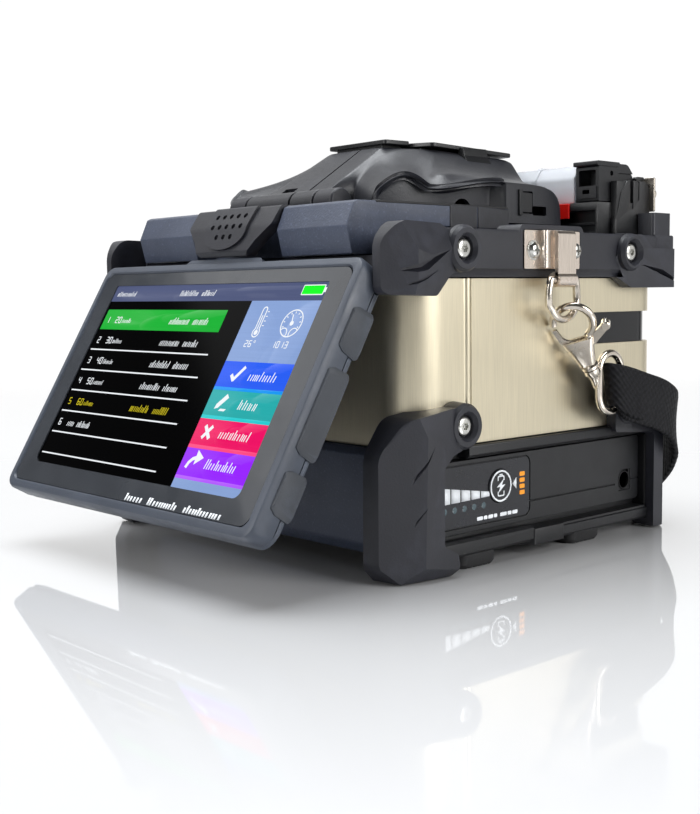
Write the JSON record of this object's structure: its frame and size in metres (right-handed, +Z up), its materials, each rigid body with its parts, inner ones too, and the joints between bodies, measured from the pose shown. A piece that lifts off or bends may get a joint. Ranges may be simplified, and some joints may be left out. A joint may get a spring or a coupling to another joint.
{
  "type": "fibre fusion splicer",
  "caption": "Compact benchtop fusion splicer: metal-shelled body, tilting touch monitor, hinged wind cover, rear tube heater, slide-out battery and a webbing carrying strap.",
  "frame": {"origin": "on the table, at the middle of the machine's outline seen from above, the strap left out", "axes": "+Z up, the operator stands at -Y facing +Y, +X is the operator's right; the splicing fibre lies along X"},
  "size_m": [0.1636, 0.2433, 0.1299],
  "materials": {
    "case_plastic": "moulded blue-black plastic with a fine speckled grain",
    "dark_plastic": "smooth satin black plastic",
    "bumper_rubber": "dense satin rubber-like elastomer",
    "foot_rubber": "soft matt rubber",
    "champagne_metal": "brushed champagne anodised aluminium",
    "label_film": "printed glossy film",
    "gloss_trim": "gloss black trim",
    "nickel": "bright nickel plate",
    "screw_steel": "machined stainless steel",
    "screen_glass": "dark front glass",
    "display": "lit colour display",
    "grip_rubber": "ribbed grip rubber",
    "clear_plastic": "frosted clear plastic",
    "red_plastic": "red marker plastic",
    "circuit_green": "green circuit laminate with parts",
    "cell_wrap": "heat-shrink battery sleeve",
    "bare_metal": "ground bare metal",
    "button_white": "silver-ringed button",
    "webbing": "coarse black woven webbing",
    "lamp_white": "diffuse lamp cover"
  },
  "bodies": {
    "chassis": {"base_tray": "case_plastic", "bottom_vent": "dark_plastic", "rubber_feet": "foot_rubber", "lower_bumpers": "bumper_rubber", "front_lower_cover": "case_plastic", "shell_front_panel": "champagne_metal", "shell_rear_panel": "champagne_metal", "corner_insert": "gloss_trim", "upper_frame": "case_plastic", "upper_bumpers": "bumper_rubber", "side_screws": "screw_steel", "top_deck": "case_plastic", "monitor_hinge_ears": "dark_plastic", "cover_hinge_pin": "dark_plastic", "v_groove_block": "bare_metal", "electrodes": "bare_metal", "objectives": "dark_plastic", "sheath_holders": "bare_metal", "drive_motors": "bare_metal", "main_board": "circuit_green", "power_module": "dark_plastic", "heater_base": "dark_plastic", "heater_trough": "bare_metal", "heater_marker": "red_plastic", "heater_springs": "nickel", "strap_brackets": "nickel", "strap_rings": "nickel", "strap": "webbing"},
    "battery": {"battery_case": "dark_plastic", "battery_face": "case_plastic", "battery_cells": "cell_wrap", "battery_board": "circuit_green", "dc_jack": "dark_plastic"},
    "battery_button": {"battery_button": "button_white"},
    "release_tab": {"release_tab": "case_plastic"},
    "monitor": {"monitor_bezel": "case_plastic", "monitor_shell": "case_plastic", "monitor_glass": "screen_glass", "lcd_panel": "display", "monitor_grips": "grip_rubber", "monitor_pins": "bare_metal"},
    "wind_cover": {"wind_cover": "case_plastic", "cover_top_plates": "dark_plastic", "cover_lamp": "lamp_white"},
    "fibre_clamp_right": {"fibre_clamp_right": "bare_metal"},
    "fibre_clamp_left": {"fibre_clamp_left": "bare_metal"},
    "holder_lid_right": {"holder_lid_right": "bare_metal"},
    "holder_lid_left": {"holder_lid_left": "bare_metal"},
    "power_key": {"power_key": "grip_rubber"},
    "heat_key": {"heat_key": "grip_rubber"},
    "heater_lid": {"heater_lid": "clear_plastic"},
    "heater_clamp_right": {"heater_clamp_right": "dark_plastic"},
    "heater_clamp_left": {"heater_clamp_left": "dark_plastic"},
    "d_ring_right": {"d_ring_right": "nickel"},
    "d_ring_left": {"d_ring_left": "nickel"},
    "hook_right": {"hook_right": "nickel"},
    "hook_left": {"hook_left": "nickel"},
    "trigger_right": {"trigger_right": "nickel"},
    "trigger_left": {"trigger_left": "nickel"}
  },
  "joints": [
    {"name": "monitor_tilt", "type": "hinge", "parent": "chassis", "child": "monitor", "pos_m": [0, -0.04541, 0.08088], "axis": [-1, 0, 0], "range_deg": [-21, 68]},
    {"name": "wind_cover_hinge", "type": "hinge", "parent": "chassis", "child": "wind_cover", "pos_m": [0, -0.02258, 0.1076], "axis": [1, 0, 0], "range_deg": [0, 100]},
    {"name": "fibre_clamp_right_hinge", "type": "hinge", "parent": "chassis", "child": "fibre_clamp_right", "pos_m": [0.011, 0.02182, 0.1082], "axis": [-1, 0, 0], "range_deg": [0, 60]},
    {"name": "fibre_clamp_left_hinge", "type": "hinge", "parent": "chassis", "child": "fibre_clamp_left", "pos_m": [-0.011, 0.02182, 0.1082], "axis": [-1, 0, 0], "range_deg": [0, 60]},
    {"name": "holder_lid_right_hinge", "type": "hinge", "parent": "chassis", "child": "holder_lid_right", "pos_m": [0.03, 0.02382, 0.1081], "axis": [-1, 0, 0], "range_deg": [0, 90]},
    {"name": "holder_lid_left_hinge", "type": "hinge", "parent": "chassis", "child": "holder_lid_left", "pos_m": [-0.03, 0.02382, 0.1081], "axis": [-1, 0, 0], "range_deg": [0, 90]},
    {"name": "heater_lid_hinge", "type": "hinge", "parent": "chassis", "child": "heater_lid", "pos_m": [0, 0.08242, 0.1115], "axis": [-1, 0, 0], "range_deg": [0, 80]},
    {"name": "heater_clamp_right_hinge", "type": "hinge", "parent": "chassis", "child": "heater_clamp_right", "pos_m": [0.055, 0.08242, 0.1115], "axis": [-1, 0, 0], "range_deg": [0, 80]},
    {"name": "heater_clamp_left_hinge", "type": "hinge", "parent": "chassis", "child": "heater_clamp_left", "pos_m": [-0.055, 0.08242, 0.1115], "axis": [-1, 0, 0], "range_deg": [0, 80]},
    {"name": "release_tab_hinge", "type": "hinge", "parent": "chassis", "child": "release_tab", "pos_m": [0, -0.03918, 0.1054], "axis": [1, 0, 0], "range_deg": [0, 3.5], "stiffness_Nm_per_rad": 0.3},
    {"name": "battery_slide", "type": "slide", "parent": "chassis", "child": "battery", "axis": [1, 0, 0], "range_m": [0, 0.098]},
    {"name": "battery_button_press", "type": "slide", "parent": "battery", "child": "battery_button", "axis": [-1, 0, 0], "range_m": [0, 0.001], "stiffness_N_per_m": 300},
    {"name": "power_key_press", "type": "slide", "parent": "chassis", "child": "power_key", "axis": [0, 0, -1], "range_m": [0, 0.0008], "stiffness_N_per_m": 300},
    {"name": "heat_key_press", "type": "slide", "parent": "chassis", "child": "heat_key", "axis": [0, 0, -1], "range_m": [0, 0.0008], "stiffness_N_per_m": 300},
    {"name": "d_ring_right_swing", "type": "hinge", "parent": "chassis", "child": "d_ring_right", "pos_m": [0.0731, 0.02432, 0.0834], "axis": [0, 1, 0], "range_deg": [-4, 4]},
    {"name": "hook_right_swivel", "type": "hinge", "parent": "chassis", "child": "hook_right", "pos_m": [0.0731, 0.02912, 0.0701], "axis": [0, -0.5446, 0.8387], "range_deg": [-4, 4]},
    {"name": "trigger_right_pull", "type": "hinge", "parent": "hook_right", "child": "trigger_right", "pos_m": [0.0731, 0.03413, 0.06238], "axis": [-0.5, 0.7263, 0.4717], "range_deg": [0, 20], "stiffness_Nm_per_rad": 0.02},
    {"name": "d_ring_left_swing", "type": "hinge", "parent": "chassis", "child": "d_ring_left", "pos_m": [-0.0731, 0.02432, 0.0834], "axis": [0, -1, 0], "range_deg": [-4, 4]},
    {"name": "hook_left_swivel", "type": "hinge", "parent": "chassis", "child": "hook_left", "pos_m": [-0.0731, 0.02912, 0.0701], "axis": [0, 0.5446, -0.8387], "range_deg": [-4, 4]},
    {"name": "trigger_left_pull", "type": "hinge", "parent": "hook_left", "child": "trigger_left", "pos_m": [-0.0731, 0.03413, 0.06238], "axis": [-0.5, -0.7263, -0.4717], "range_deg": [0, 20], "stiffness_Nm_per_rad": 0.02}
  ],
  "couplings": [
    {"joint": "fibre_clamp_right_hinge", "follows": "wind_cover_hinge", "ratio": 0.5},
    {"joint": "fibre_clamp_left_hinge", "follows": "wind_cover_hinge", "ratio": 0.5},
    {"joint": "holder_lid_right_hinge", "follows": "wind_cover_hinge", "ratio": 0.8},
    {"joint": "holder_lid_left_hinge", "follows": "wind_cover_hinge", "ratio": 0.8}
  ]
}
